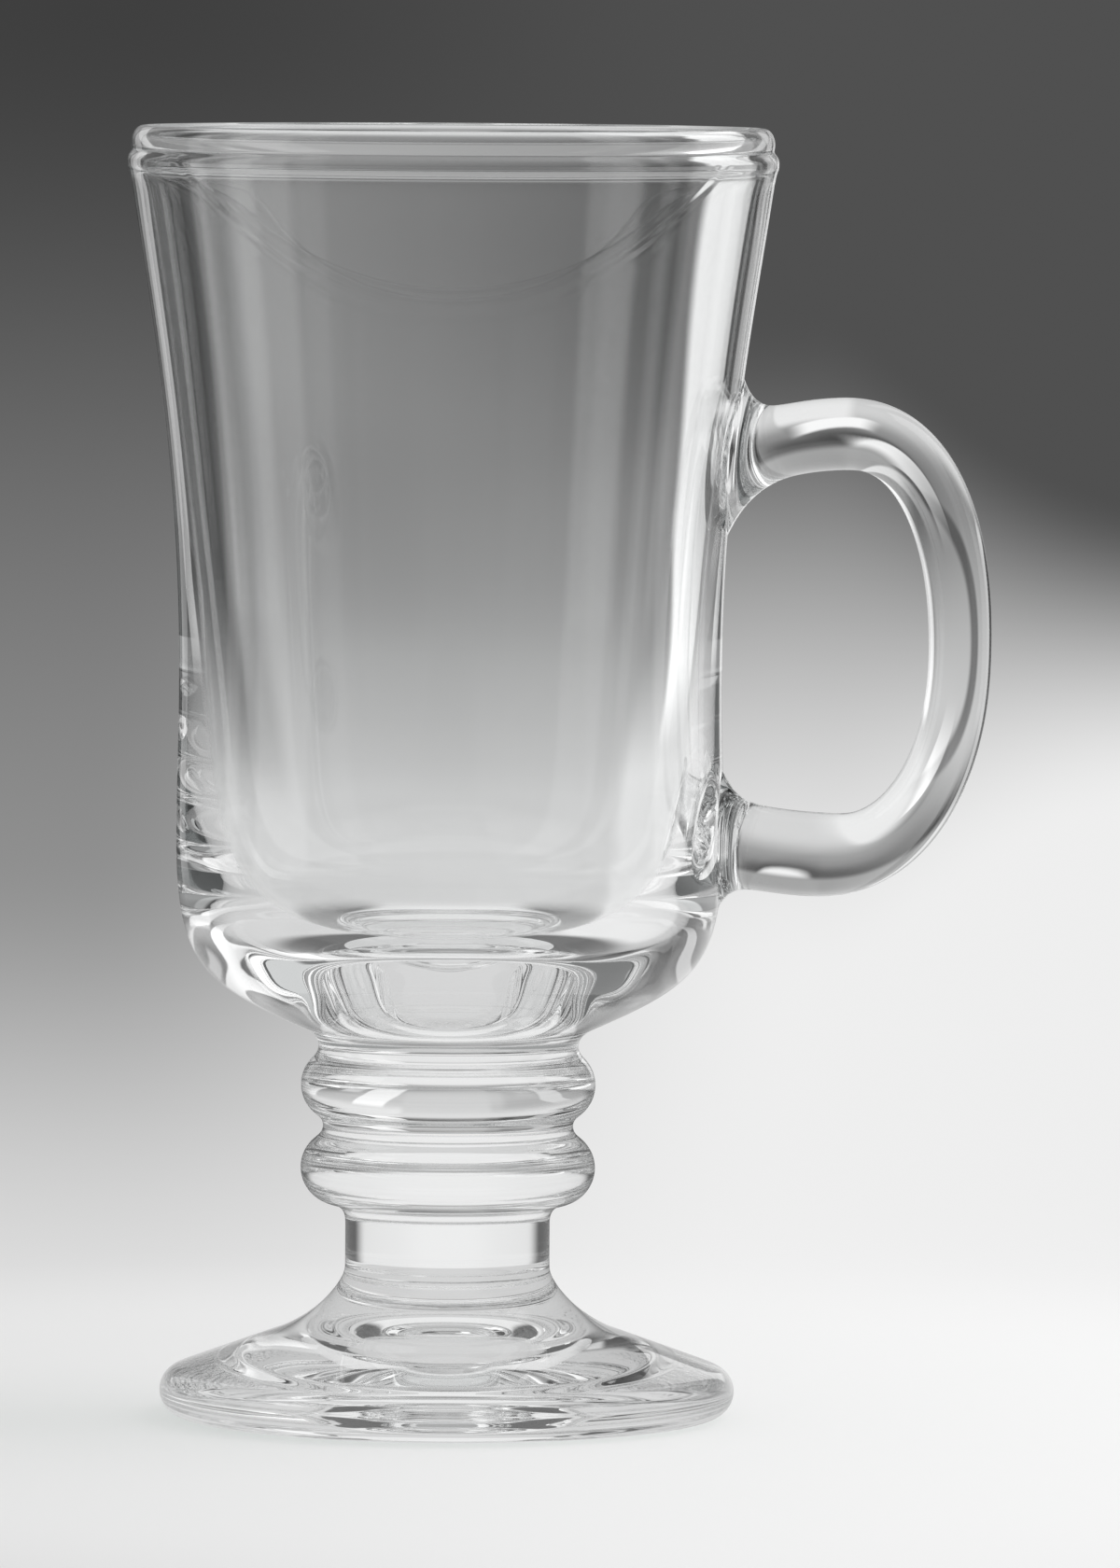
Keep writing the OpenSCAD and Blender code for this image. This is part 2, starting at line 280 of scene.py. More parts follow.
def cavity_outline():
    bead_share, turn_share, floor_turn_share = 0.45, 0.52, 0.71
    cavity_r_share, cavity_z_share = 0.35, 0.61
    in_share = 0.6
    lip = point(lip_r - lip_wall, mug_h - in_share * lip_round_h)
    top = point(lip_r + lip_groove - rim_wall, ring_low_z + ring_h / 4)
    turn = point(waist_r - low_wall, cavity_turn_z)
    bulge = turn + point(cavity_r_share * (top.x - turn.x), cavity_z_share * (top.y - turn.y))
    bead_drop = bead_share * (lip.y - top.y)
    top_lean = (top.x - bulge.x) / (top.y - bulge.y)
    turn_lean = (bulge.x - turn.x) / (bulge.y - turn.y)
    edge = point(floor_r, floor_z + floor_dish)
    turn_drop = turn_share * (turn.y - edge.y)
    floor_pull = floor_turn_share * (turn.x - edge.x)
    floor_rise = 2 * floor_dish / floor_r
    return joined(
        (sweep(lip, lip - point(0, bead_drop), top + bead_drop * point(top_lean, 1), top), KNOP_STEP),
        (bend(top, bulge, turn), WALL_STEP),
        (sweep(turn, turn - turn_drop * point(turn_lean, 1), edge + floor_pull * point(1, floor_rise),
               edge), CORNER_STEP),
        (bend(edge, point(floor_r / 2, floor_z), point(0, floor_z)), CORNER_STEP),
    )


def normals_of(outline):
    """Outward normals of an outline that runs upwards outside and downwards inside the cavity."""
    ends = [outline[0]] + outline + [outline[-1]]
    along = [b - a for a, b in zip(ends, ends[2:])]
    return [point(d.y, -d.x).normalized() for d in along]


foot_skin, stem_skin = foot_outline(), stem_outline()
wall_skin = wall_outline()
bowl_skin = wall_skin + lip_outline()[1:] + cavity_outline()[1:]
skin = eased(foot_skin + stem_skin[1:] + bowl_skin[1:])
skin_normals = normals_of(skin)
skin_normals[0], skin_normals[-1] = point(0, -1), point(0, 1)
line_at = len(foot_skin) - 1
neck_at = line_at + len(stem_skin) - 1
wall_end = neck_at + len(wall_skin) - 1


def wall_r(z):
    """Outer radius of the bowl's wall at a height."""
    wall = skin[neck_at:wall_end + 1]
    for a, b in zip(wall, wall[1:]):
        if a.y <= z <= b.y:
            return mix(a.x, b.x, (z - a.y) / (b.y - a.y))
    raise ValueError(f"no wall at height {z}")


def wall_normal(z):
    for i in range(neck_at, wall_end):
        a, b = skin[i], skin[i + 1]
        if a.y <= z <= b.y:
            return mix(skin_normals[i], skin_normals[i + 1], (z - a.y) / (b.y - a.y)).normalized()
    raise ValueError(f"no wall at height {z}")


# Handle: an oval section swept along two arms and round two quarter turns
HANDLE_SIDES = 64
ROOT_STEPS, ARM_STEPS, TURN_STEPS = 14, 8, 44
ROOT_MEET = 72
HANDLE_EASE_PASSES = 12
UPPER_POWER, LOWER_POWER, HEEL_SWELL, SECTION_POWER = 2.25, 2.15, 2.5, 2.05
SIDE_FLARE_SHARE = 0.6
crown = point(crown_x, grip_z + crown_rise)
heel = point(heel_x, grip_z - heel_drop)
grip_x = handle_reach - grip_thick / 2


def oval(t):
    """A cosine or sine, pulled out to the handle's slightly squarer oval."""
    return math.copysign(abs(t) ** (2 / SECTION_POWER), t)


def section_turns():
    return [math.radians(360 * j / HANDLE_SIDES) for j in range(HANDLE_SIDES)]


def arm_ring(end, climb, out, thick, swell, throat, turn_left, gone):
    """Ring round an arm.

    turn_left is what is left of the root's fillet, in degrees, and gone is the share of plain arm passed.
    """
    root_z = end.y + climb
    root_x = wall_r(root_z)
    meet = turn_of(ROOT_MEET)
    left = turn_of(turn_left)
    grown = swell * (1 - left.x) / (1 - meet.x)
    ring = []
    for w in section_turns():
        rise, across = out * oval(math.cos(w)), oval(math.sin(w))
        seat_y = (arm_wide / 2 + SIDE_FLARE_SHARE * swell) * across
        seat_r = wall_r(root_z + (thick / 2 + swell) * rise)
        seat_x = math.sqrt(seat_r**2 - seat_y**2)
        run = mix(throat, root_run, (1 + out * rise) / 2)
        x = mix(seat_x + run * (meet.y - left.y), end.x, gone)
        middle_z = mix(end.y, root_z, ((end.x - x) / (end.x - root_x)) ** 2)
        y = (arm_wide / 2 + SIDE_FLARE_SHARE * grown) * across
        ring.append(Vector((x, y, middle_z + (thick / 2 + grown) * rise)))
    return ring


def seated(ring):
    """A root's first ring, moved along X onto the bowl's wall."""
    return [Vector((math.sqrt(wall_r(p.z) ** 2 - p.y**2), p.y, p.z)) for p in ring]


def turn_point(end, power, w):
    """Point of a quarter turn's middle line, w degrees past the crown or heel."""
    t = turn_of(w)
    out_share = max(t.y, 0) ** (2 / power)
    end_share = max(t.x, 0) ** (2 / power)
    return point(mix(end.x, grip_x, out_share), mix(grip_z, end.y, end_share))


def turn_ring(end, out, power, thick, swell_power, w):
    """Ring round a quarter turn, square to its middle line, from the crown or heel (0) to the grip (90)."""
    middle = turn_point(end, power, w)
    along = turn_point(end, power, min(w + 1, 90)) - turn_point(end, power, max(w - 1, 0))
    square = out * point(-along.y, along.x).normalized()
    share = (1 - w / 90) ** swell_power
    ring = []
    for v in section_turns():
        rise = mix(grip_thick, thick, share) / 2 * oval(math.cos(v))
        side = mix(grip_wide, arm_wide, share) / 2 * oval(math.sin(v))
        ring.append(Vector((middle.x + rise * square.x, side, middle.y + rise * square.y)))
    return ring


def handle_rings():
    stages = [(ROOT_MEET * (1 - i / ROOT_STEPS), 0) for i in range(ROOT_STEPS + 1)]
    stages += [(0, i / ARM_STEPS) for i in range(1, ARM_STEPS + 1)]
    upper = [arm_ring(crown, -upper_fall, 1, upper_thick, upper_flare, throat_run, *s) for s in stages]
    lower = [arm_ring(heel, lower_climb, -1, lower_thick, lower_flare, root_run, *s) for s in stages]
    upper[0], lower[0] = seated(upper[0]), seated(lower[0])
    turns = [90 * i / TURN_STEPS for i in range(1, TURN_STEPS + 1)]
    upper += [turn_ring(crown, 1, UPPER_POWER, upper_thick, 1, w) for w in turns]
    lower += [turn_ring(heel, -1, LOWER_POWER, lower_thick, HEEL_SWELL, w) for w in turns[:-1]]
    rings = upper + lower[::-1]
    lines = [eased([ring[j] for ring in rings], HANDLE_EASE_PASSES) for j in range(HANDLE_SIDES)]
    return [list(ring) for ring in zip(*lines)]


class Build:
    """Vertices, faces and corner normals of one glass piece, in millimetres until made."""

    def __init__(self):
        self.points, self.normals = [], []
        self.faces, self.kinds, self.flats = [], [], []

    def vertex(self, p, n):
        self.points.append(p)
        self.normals.append(n)
        return len(self.points) - 1

    def face(self, corners, kind, flat=None):
        """kind is the material's place on the piece, and flat a normal for all corners."""
        self.faces.append(corners)
        self.kinds.append(kind)
        self.flats.append(flat)

    def make(self, name, materials):
        mesh = bpy.data.meshes.new(name)
        mesh.from_pydata([p * MM for p in self.points], [], self.faces)
        corner_normals = []
        for corners, flat in zip(self.faces, self.flats):
            corner_normals += [flat or self.normals[c] for c in corners]
        mesh.polygons.foreach_set("use_smooth", [True] * len(self.faces))
        mesh.polygons.foreach_set("material_index", self.kinds)
        mesh.normals_split_custom_set(corner_normals)
        for material in materials:
            mesh.materials.append(material)
        piece = bpy.data.objects.new(name, mesh)
        bpy.context.scene.collection.objects.link(piece)
        return piece


# Places of the materials on each piece
GLASS, FUSED, STIPPLED = 0, 1, 2
DOWN, UP = Vector((0, 0, -1)), Vector((0, 0, 1))

# Slack, in millimetres, for what counts as level, as within an edge and as one point
LEVEL_SLACK, EDGE_SLACK, ONE_POINT = 0.02, 0.1, 1e-6


def around(k):
    w = 2 * math.pi * k / SIDES
    return Vector((math.cos(w), math.sin(w)))


def add_ring(build, p, n):
    """A ring of vertices at an outline point, or one vertex on the axis."""
    if p.x < ONE_POINT:
        return [build.vertex(Vector((0, 0, p.y)), Vector((0, 0, n.y)))] * SIDES
    ring = []
    for k in range(SIDES):
        t = around(k)
        spot = Vector((p.x * t.x, p.x * t.y, p.y))
        ring.append(build.vertex(spot, Vector((n.x * t.x, n.x * t.y, n.y))))
    return ring


def add_band(build, low, high, kind, flat=None, skip=()):
    """Faces between two rings, but for the sides in skip."""
    for k in range(SIDES):
        if k in skip:
            continue
        j = (k + 1) % SIDES
        corners = [low[k], low[j], high[j], high[k]]
        build.face([c for i, c in enumerate(corners) if c not in corners[:i]], kind, flat)


def is_bearing(a, b):
    """True for the flat ring that the mug rests on."""
    return max(a.y, b.y) < LEVEL_SLACK and min(a.x, b.x) > bearing_in - EDGE_SLACK


def revolved(first, last, windows=()):
    """A build of the skin from one outline point to another. Windows, rows and sides, stay open in it."""
    build = Build()
    rings = [add_ring(build, skin[i], skin_normals[i]) for i in range(first, last + 1)]
    for i, (low, high) in enumerate(zip(rings, rings[1:])):
        skip = {k % SIDES for rows, sides in windows if first + i in rows for k in sides}
        bearing = is_bearing(skin[first + i], skin[first + i + 1])
        add_band(build, low, high, STIPPLED if bearing else GLASS, skip=skip)
    return build, rings


def close_disc(build, ring, z, facing):
    """The flat disc at a joint, with the same middle point on both pieces."""
    middle = build.vertex(Vector((0, 0, z)), facing)
    for k in range(SIDES):
        edge = [ring[k], ring[(k + 1) % SIDES]]
        build.face([middle] + (edge if facing is UP else edge[::-1]), FUSED, facing)


class RootPatch:
    """A window in the grid of the bowl's wall, filled again round the outline of a handle's root."""

    # Millimetres that the window reaches past the root, and that grid points keep off the root's outline
    margin = 1.2
    near = 0.45

    def __init__(self, outline):
        self.outline = outline
        self.places = [self.place(p) for p in outline]
        heights = [p.y for p in self.places]
        widest = max(abs(math.atan2(p.y, p.x)) for p in outline)
        reach = math.ceil(widest * SIDES / (2 * math.pi)) + 1
        rows = [
            i for i in range(neck_at, wall_end)
            if skin[i + 1].y > min(heights) - self.margin and skin[i].y < max(heights) + self.margin
        ]
        self.rows = range(rows[0], rows[-1] + 1)
        self.sides = range(-reach, reach)

    @staticmethod
    def place(p):
        """A wall point unrolled: distance round the waist, and height."""
        return point(math.atan2(p.y, p.x) * waist_r, p.z)

    @staticmethod
    def wall_vertex(place):
        w = place.x / waist_r
        r, n = wall_r(place.y), wall_normal(place.y)
        return (
            Vector((r * math.cos(w), r * math.sin(w), place.y)),
            Vector((n.x * math.cos(w), n.x * math.sin(w), n.y)),
        )

    def inside(self, p):
        """True if an unrolled point lies inside the root's outline."""
        odd = False
        for a, b in zip(self.places, self.places[1:] + self.places[:1]):
            if (a.y > p.y) != (b.y > p.y) and p.x < a.x + (p.y - a.y) / (b.y - a.y) * (b.x - a.x):
                odd = not odd
        return odd

    def triangles(self):
        """Unrolled points, triangles, and which points are the outline's and the window border's."""
        columns = list(self.sides) + [self.sides.stop]
        rows = list(self.rows) + [self.rows.stop]
        step = 2 * math.pi * waist_r / SIDES
        keys, places = [], []
        for i in rows:
            for k in columns:
                spot = point(k * step, skin[i].y)
                border = i in (rows[0], rows[-1]) or k in (columns[0], columns[-1])
                if border or min((spot - q).length for q in self.places) > self.near:
                    keys.append((i, k) if border else None)
                    places.append(spot)
        start = len(places)
        keys += [("outline", j) for j in range(len(self.places))]
        places += self.places
        loop = [(start + j, start + (j + 1) % len(self.places)) for j in range(len(self.places))]
        out = geometry.delaunay_2d_cdt(places, loop, [], 0, ONE_POINT)
        spots, faces, origins = out[0], out[2], out[3]
        names = [next((keys[o] for o in origin if keys[o] is not None), None) for origin in origins]
        return spots, faces, names

    def fill(self, bowl, rings, first, handle, handle_ring):
        """Fills the window: glass outside the root's outline, and inside it a fused face of both pieces."""
        spots, faces, names = self.triangles()
        on_bowl, on_handle = {}, {}

        def bowl_vertex(v):
            if v not in on_bowl:
                name = names[v]
                if name and name[0] != "outline":
                    on_bowl[v] = rings[name[0] - first][name[1] % SIDES]
                elif name:
                    spot = self.outline[name[1]]
                    on_bowl[v] = bowl.vertex(spot, self.wall_vertex(self.places[name[1]])[1])
                else:
                    on_bowl[v] = bowl.vertex(*self.wall_vertex(spots[v]))
            return on_bowl[v]

        def handle_vertex(v):
            if v not in on_handle:
                name = names[v]
                if name:
                    on_handle[v] = handle_ring[name[1]]
                else:
                    on_handle[v] = handle.vertex(*self.wall_vertex(spots[v]))
            return on_handle[v]

        for face in faces:
            middle = sum((spots[v] for v in face), point(0, 0)) / len(face)
            fused = self.inside(middle)
            bowl.face([bowl_vertex(v) for v in face], FUSED if fused else GLASS)
            if fused:
                inward = -self.wall_vertex(middle)[1]
                handle.face([handle_vertex(v) for v in reversed(face)], FUSED, inward)


def build_handle(rings):
    """The handle's sides between its two root rings, with normals from the sweep itself."""
    build = Build()
    last = len(rings) - 1
    ids = []
    for i, ring in enumerate(rings):
        before, after = rings[max(i - 1, 0)], rings[min(i + 1, last)]
        row = []
        for j in range(HANDLE_SIDES):
            round_way = ring[(j + 1) % HANDLE_SIDES] - ring[j - 1]
            along = after[j] - before[j]
            row.append(build.vertex(ring[j], along.cross(round_way).normalized()))
        ids.append(row)
    for low, high in zip(ids, ids[1:]):
        for j in range(HANDLE_SIDES):
            k = (j + 1) % HANDLE_SIDES
            build.face([low[j], high[j], high[k], low[k]], GLASS)
    return build, ids


# Materials
class Nodes:
    """Short calls that add nodes to one tree."""

    def __init__(self, tree):
        tree.nodes.clear()
        self.tree = tree

    def add(self, kind, **settings):
        node = self.tree.nodes.new(kind)
        for name, value in settings.items():
            setattr(node, name, value)
        return node

    def put(self, socket, value):
        if isinstance(value, bpy.types.NodeSocket):
            self.tree.links.new(value, socket)
        else:
            socket.default_value = value

    def math(self, operation, *values):
        node = self.add("ShaderNodeMath", operation=operation)
        for socket, value in zip(node.inputs, values):
            self.put(socket, value)
        return node.outputs[0]

    def ramp(self, value, start, end, low=0.0, high=1.0):
        """low at start and high at end, smooth between and level outside them."""
        node = self.add("ShaderNodeMapRange", interpolation_type="SMOOTHSTEP")
        names = ("Value", "From Min", "From Max", "To Min", "To Max")
        for name, given in zip(names, (value, start, end, low, high)):
            self.put(node.inputs[name], given)
        return node.outputs["Result"]

    def noise(self, scale, detail=2.0, stretch=(1, 1, 1)):
        place = self.add("ShaderNodeTexCoord").outputs["Object"]
        scaled = self.add("ShaderNodeMapping")
        self.put(scaled.inputs["Vector"], place)
        self.put(scaled.inputs["Scale"], stretch)
        node = self.add("ShaderNodeTexNoise")
        self.put(node.inputs["Vector"], scaled.outputs["Vector"])
        self.put(node.inputs["Scale"], scale)
        self.put(node.inputs["Detail"], detail)
        return node.outputs["Fac"]

    def bump(self, height, distance, normal=None):
        node = self.add("ShaderNodeBump")
        self.put(node.inputs["Height"], height)
        self.put(node.inputs["Distance"], distance)
        if normal is not None:
            self.put(node.inputs["Normal"], normal)
        return node.outputs["Normal"]

    def blend(self, share, first, second):
        node = self.add("ShaderNodeMixShader")
        self.put(node.inputs["Fac"], share)
        self.put(node.inputs[1], first)
        self.put(node.inputs[2], second)
        return node.outputs["Shader"]


def new_material(name, kind=Nodes):
    """A material, and its emptied node tree as Nodes or a kind of them."""
    material = bpy.data.materials.new(name)
    material.use_nodes = True
    return material, kind(material.node_tree)


# Clear glass, the tint of its shadow, and the tint of light that turned in it more than MOST_TURNS times
GLASS_COLOUR = (0.982, 0.987, 0.987, 1)
GLASS_IOR = 1.52
SHADE_COLOUR = (0.93, 0.94, 0.935, 1)
WORN_COLOUR = (0.5, 0.51, 0.51, 1)
MOST_TURNS = 12.5

# Surface of the glass, in metres: slow waves, a flow line across the front, and the grains under the foot
WAVE_SCALE, WAVE_DETAIL, WAVE_DEEP = 38, 1.5, 0.00002
WAVE_STRETCH = (1, 1, 0.45)
FLOW_LOW, FLOW_CURVE, FLOW_WIDE, FLOW_DEEP = 0.129, 17.8, 0.0009, 0.000007
FLOW_END = (-0.012, -0.008)
GRAIN_SCALE, GRAIN_DETAIL, GRAIN_DEEP, GRAIN_ROUGH = 900, 2, 0.0004, 0.12


def glass_surface(nodes, roughness, normal):
    """Clear glass. Lamp rays go straight through it, a little shaded, so that it has a soft pale shadow.

    So do rays that have turned inside it many times, and these come out darker.
    """
    shader = nodes.add("ShaderNodeBsdfPrincipled")
    nodes.put(shader.inputs["Base Color"], GLASS_COLOUR)
    nodes.put(shader.inputs["Transmission Weight"], 1.0)
    nodes.put(shader.inputs["IOR"], GLASS_IOR)
    nodes.put(shader.inputs["Roughness"], roughness)
    nodes.put(shader.inputs["Normal"], normal)
    clear = nodes.add("ShaderNodeBsdfTransparent")
    nodes.put(clear.inputs["Color"], SHADE_COLOUR)
    path = nodes.add("ShaderNodeLightPath")
    lamp_ray = nodes.math("MAXIMUM", path.outputs["Is Shadow Ray"], path.outputs["Is Diffuse Ray"])
    worn = nodes.add("ShaderNodeBsdfTransparent")
    nodes.put(worn.inputs["Color"], WORN_COLOUR)
    worn_out = nodes.math("GREATER_THAN", path.outputs["Ray Depth"], MOST_TURNS)
    seen = nodes.blend(worn_out, shader.outputs["BSDF"], worn.outputs["BSDF"])
    return nodes.blend(lamp_ray, seen, clear.outputs["BSDF"])


def pressed_glass():
    """Polished glass with the slow waves that pressing and fire polishing leave, and a fine flow line."""
    material, nodes = new_material("pressed_glass")
    waves = nodes.noise(WAVE_SCALE, WAVE_DETAIL, WAVE_STRETCH)
    normal = nodes.bump(waves, WAVE_DEEP)
    axes = nodes.add("ShaderNodeSeparateXYZ")
    nodes.put(axes.inputs[0], nodes.add("ShaderNodeTexCoord").outputs["Object"])
    x, y, z = axes.outputs
    sag = nodes.math("MULTIPLY", nodes.math("MULTIPLY", x, x), FLOW_CURVE)
    off = nodes.math("SUBTRACT", nodes.math("SUBTRACT", z, FLOW_LOW), sag)
    line = nodes.ramp(nodes.math("ABSOLUTE", off), 0.0, FLOW_WIDE)
    not_front = nodes.ramp(y, *FLOW_END)
    normal = nodes.bump(nodes.math("MAXIMUM", line, not_front), FLOW_DEEP, normal)
    out = nodes.add("ShaderNodeOutputMaterial")
    nodes.put(out.inputs["Surface"], glass_surface(nodes, 0.0, normal))
    return material


def stippled_glass():
    """The bearing ring under the foot, left rough by the mould."""
    material, nodes = new_material("stippled_glass")
    grains = nodes.noise(GRAIN_SCALE, GRAIN_DETAIL)
    normal = nodes.bump(grains, GRAIN_DEEP)
    out = nodes.add("ShaderNodeOutputMaterial")
    nodes.put(out.inputs["Surface"], glass_surface(nodes, GRAIN_ROUGH, normal))
    return material


def fused_joint():
    """Where two pieces are one glass: light goes straight through."""
    material, nodes = new_material("fused_joint")
    clear = nodes.add("ShaderNodeBsdfTransparent")
    out = nodes.add("ShaderNodeOutputMaterial")
    nodes.put(out.inputs["Surface"], clear.outputs["BSDF"])
    return material


def make_glass():
    """The four glass pieces, each in the place of its CAD node."""
    materials = [pressed_glass(), fused_joint(), stippled_glass()]
    rings = handle_rings()
    patches = [RootPatch(rings[0]), RootPatch(rings[-1])]
    handle, handle_ids = build_handle(rings)
    bowl, bowl_rings = revolved(neck_at, len(skin) - 1, [(p.rows, p.sides) for p in patches])
    close_disc(bowl, bowl_rings[0], neck_z, DOWN)
    patches[0].fill(bowl, bowl_rings, neck_at, handle, handle_ids[0])
    patches[1].fill(bowl, bowl_rings, neck_at, handle, handle_ids[-1])
    stem, stem_rings = revolved(line_at, neck_at)
    close_disc(stem, stem_rings[0], shank_line_z, DOWN)
    close_disc(stem, stem_rings[-1], neck_z, UP)
    foot, foot_rings = revolved(0, line_at)
    close_disc(foot, foot_rings[-1], shank_line_z, UP)
    for node, build in (("bowl", bowl), ("handle", handle), ("stem", stem), ("foot", foot)):
        piece = build.make(node + "_glass", materials)
        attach(piece, "root")
        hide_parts(node)


# Surroundings, in metres
CAMERA_FAR, CAMERA_HIGH = 1.562, 0.169
TENT_R, TENT_H, TENT_CORNER = 0.25, 0.6, 0.06
TENT_SIDES, TENT_STEP = 96, 0.008
FLOOR_DROP = 0.0003
LIT_R, UNLIT_R = 0.11, 0.24
PLAIN_LIGHT = 0.62
PALE_FLOOR = 0.86

# A ramp is written as start, end, and the values there where they aren't 0 and 1. A window, 0 outside and 1
# in the middle, is written as start, full, last and end.

# The backdrop's ramps, by level or side, in millimetres
LEFT_LOW_FADE, LEFT_HIGH_FADE, LEFT_DARK = (14, 66, 0.36, 0.0), (30, 165, 0.27, 0.0), 0.05
RIGHT_FADE, RIGHT_DARK = (50, 129, 0.78, 0.0), 0.08
RIGHT_PIVOT, RIGHT_STEEPER = 89.5, 1.3
PAST_HANDLE = (40, 85)
LEFT_TO_RIGHT = (-45, 40)
# The lit floor's colour by side: painted shade at the left and painted light at the right
MATT_SHADE_SIDES = (-80, 80, 0.8, 0.9)

# What glass shows behind the mug: painted shade at both sides, by turn in degrees and by height, and a
# painted pool of pale light
LEFT_PAINTED_SHADE, RIGHT_PAINTED_SHADE = (-16, -13, 0.25, 1.0), (5.5, 8, 1.0, 0.36)
PAINTED_SHADE_HEIGHTS = (0.02, 0.06, 0.14, 0.18)
POOL_LOW, POOL_HIGH = (-0.01, 0.08, 0.34, 0.0), (0.03, 0.17, 0.33, 0.1)
POOL_SLANT, SLANT_HEIGHT = (-12, 12, 1.5, 0.45), (0.085, 0.13)
POOL_SIDES = (36, 44, 1.0, 0.0)
BACK_HALF, FLOOR_HEIGHT = (-0.1, 0.0), (0.02, 0.07, 1.0, 0.0)

# Glow at the tent's top, ceiling and front
TOP_GLOW, CEILING_GLOW = (0.14, 0.18, 0.0, 0.27), (0.25, 0.45, 0.0, 0.1)
FRONT_GLOW = (0.0, -0.1, 0.0, 0.33)

# How far two of the panels lean, in degrees by height
LEFT_LEAN = (0.03, 0.06, 7.0, 0.0)
RIGHT_LEAN, RIGHT_HIGH_LEAN = (0.035, 0.085, -4.0, 0.0), (0.06, 0.126)


class Panel(NamedTuple):
    """A soft strip of light on the tent, between two turns in degrees from the back towards the right."""

    start: float
    end: float
    strength: float
    soft: float = 4
    low: float = 0.028
    high: float = 0.5
    lean: str = "upright"


PANELS = (
    Panel(-124, -94, 0.8),
    Panel(-87, -75, 0.7),
    Panel(-38.5, -26, 0.5, soft=1.5, lean="left"),
    Panel(-27, -17, 0.1, low=0.06),
    Panel(11.8, 24, 0.9, soft=1.2, high=0.175, lean="right"),
    Panel(24, 37, 0.45, soft=3, low=0.085),
    Panel(49, 91, 0.9),
    Panel(109, 126, 0.35),
)
PANEL_LOW_SOFT, PANEL_HIGH_SOFT = 0.02, 0.04


def tent_outline():
    """A floor that turns up into a round wall."""
    middle = point(TENT_R - TENT_CORNER, TENT_CORNER)
    corner = evenly(arc(middle, TENT_CORNER, TENT_CORNER, -90, 0), TENT_STEP)
    return [point(0, 0)] + corner + [point(TENT_R, TENT_H)]


def make_tent():
    """A round paper sweep, seen from inside only, so that every view has the same shade behind the mug."""
    vertices, faces, rings = [], [], []
    for p in tent_outline():
        ring = []
        for k in range(TENT_SIDES):
            w = 2 * math.pi * k / TENT_SIDES
            ring.append(len(vertices))
            vertices.append((p.x * math.cos(w), p.x * math.sin(w), p.y - FLOOR_DROP))
        rings.append(ring)
    for low, high in zip(rings, rings[1:]):
        for k in range(TENT_SIDES):
            j = (k + 1) % TENT_SIDES
            faces.append((low[k], high[k], high[j], low[j]))
    mesh = bpy.data.meshes.new("tent")
    mesh.from_pydata(vertices, [], faces)
    mesh.polygons.foreach_set("use_smooth", [True] * len(faces))
    tent = bpy.data.objects.new("tent", mesh)
    tent.visible_shadow = False
    bpy.context.scene.collection.objects.link(tent)
    mesh.materials.append(tent_paper())


class Paper(Nodes):
    """The shade of the studio's paper at a place, worked out from where the camera sees that place."""

    def __init__(self, tree):
        super().__init__(tree)
        axes = self.add("ShaderNodeSeparateXYZ")
        self.put(axes.inputs[0], self.add("ShaderNodeTexCoord").outputs["Object"])
        self.x, self.y, self.z = axes.outputs

    def total(self, *values):
        out = values[0]
        for value in values[1:]:
            out = self.math("ADD", out, value)
        return out

    def product(self, *values):
        out = values[0]
        for value in values[1:]:
            out = self.math("MULTIPLY", out, value)
        return out

    def rest(self, share):
        return self.math("SUBTRACT", 1.0, share)

    def faded(self, value, share):
        """value where share is 1, and 1 where share is 0."""
        return self.total(self.product(value, share), self.rest(share))

    def window(self, value, start, full, last, end):
        """0 up to start, 1 from full to last, and 0 again from end."""
        return self.product(self.ramp(value, start, full), self.ramp(value, last, end, 1.0, 0.0))

    def turn(self):
        """Degrees round the mug, from the back towards the right."""
        return self.product(self.math("ARCTAN2", self.x, self.y), 180 / math.pi)

    def seen_from(self, depth):
        """Sets level and side: height and way to the right, in millimetres, brought to the mug's axis."""
        shrink = self.math("DIVIDE", CAMERA_FAR / MM, self.math("ADD", depth, CAMERA_FAR))
        drop = self.product(self.math("SUBTRACT", self.z, CAMERA_HIGH), shrink)
        self.level = self.total(drop, CAMERA_HIGH / MM)
        self.side = self.product(self.x, shrink)

    def backdrop(self):
        """A smooth shade from pale below to dark grey above, paler and higher up at the right."""
        low_fade = self.ramp(self.level, *LEFT_LOW_FADE)
        left = self.total(low_fade, self.ramp(self.level, *LEFT_HIGH_FADE), LEFT_DARK)
        steep = self.total(self.product(self.ramp(self.side, *PAST_HANDLE), RIGHT_STEEPER), 1.0)
        above = self.math("SUBTRACT", self.level, RIGHT_PIVOT)
        right_level = self.total(self.product(above, steep), RIGHT_PIVOT)
        right = self.total(self.ramp(right_level, *RIGHT_FADE), RIGHT_DARK)
        share = self.ramp(self.side, *LEFT_TO_RIGHT)
        return self.total(self.product(left, self.rest(share)), self.product(right, share))

    def bent_ray(self):
        """1 for a ray that glass has bent or mirrored."""
        path = self.add("ShaderNodeLightPath")
        return self.math("MAXIMUM", path.outputs["Is Transmission Ray"], path.outputs["Is Glossy Ray"])

    def glow(self, strength):
        node = self.add("ShaderNodeEmission")
        self.put(node.inputs["Strength"], strength)
        return node.outputs["Emission"]

    def clear(self):
        return self.add("ShaderNodeBsdfTransparent").outputs["BSDF"]

    def finish(self, shader):
        out = self.add("ShaderNodeOutputMaterial")
        self.put(out.inputs["Surface"], shader)


def panel_light(paper, turn, panel):
    """The light of one panel, soft at its edges and ends."""
    across = paper.window(turn, panel.start, panel.start + panel.soft, panel.end - panel.soft, panel.end)
    low_full, high_last = panel.low + PANEL_LOW_SOFT, panel.high - PANEL_HIGH_SOFT
    upright = paper.window(paper.z, panel.low, low_full, high_last, panel.high)
    return paper.product(across, upright, panel.strength)


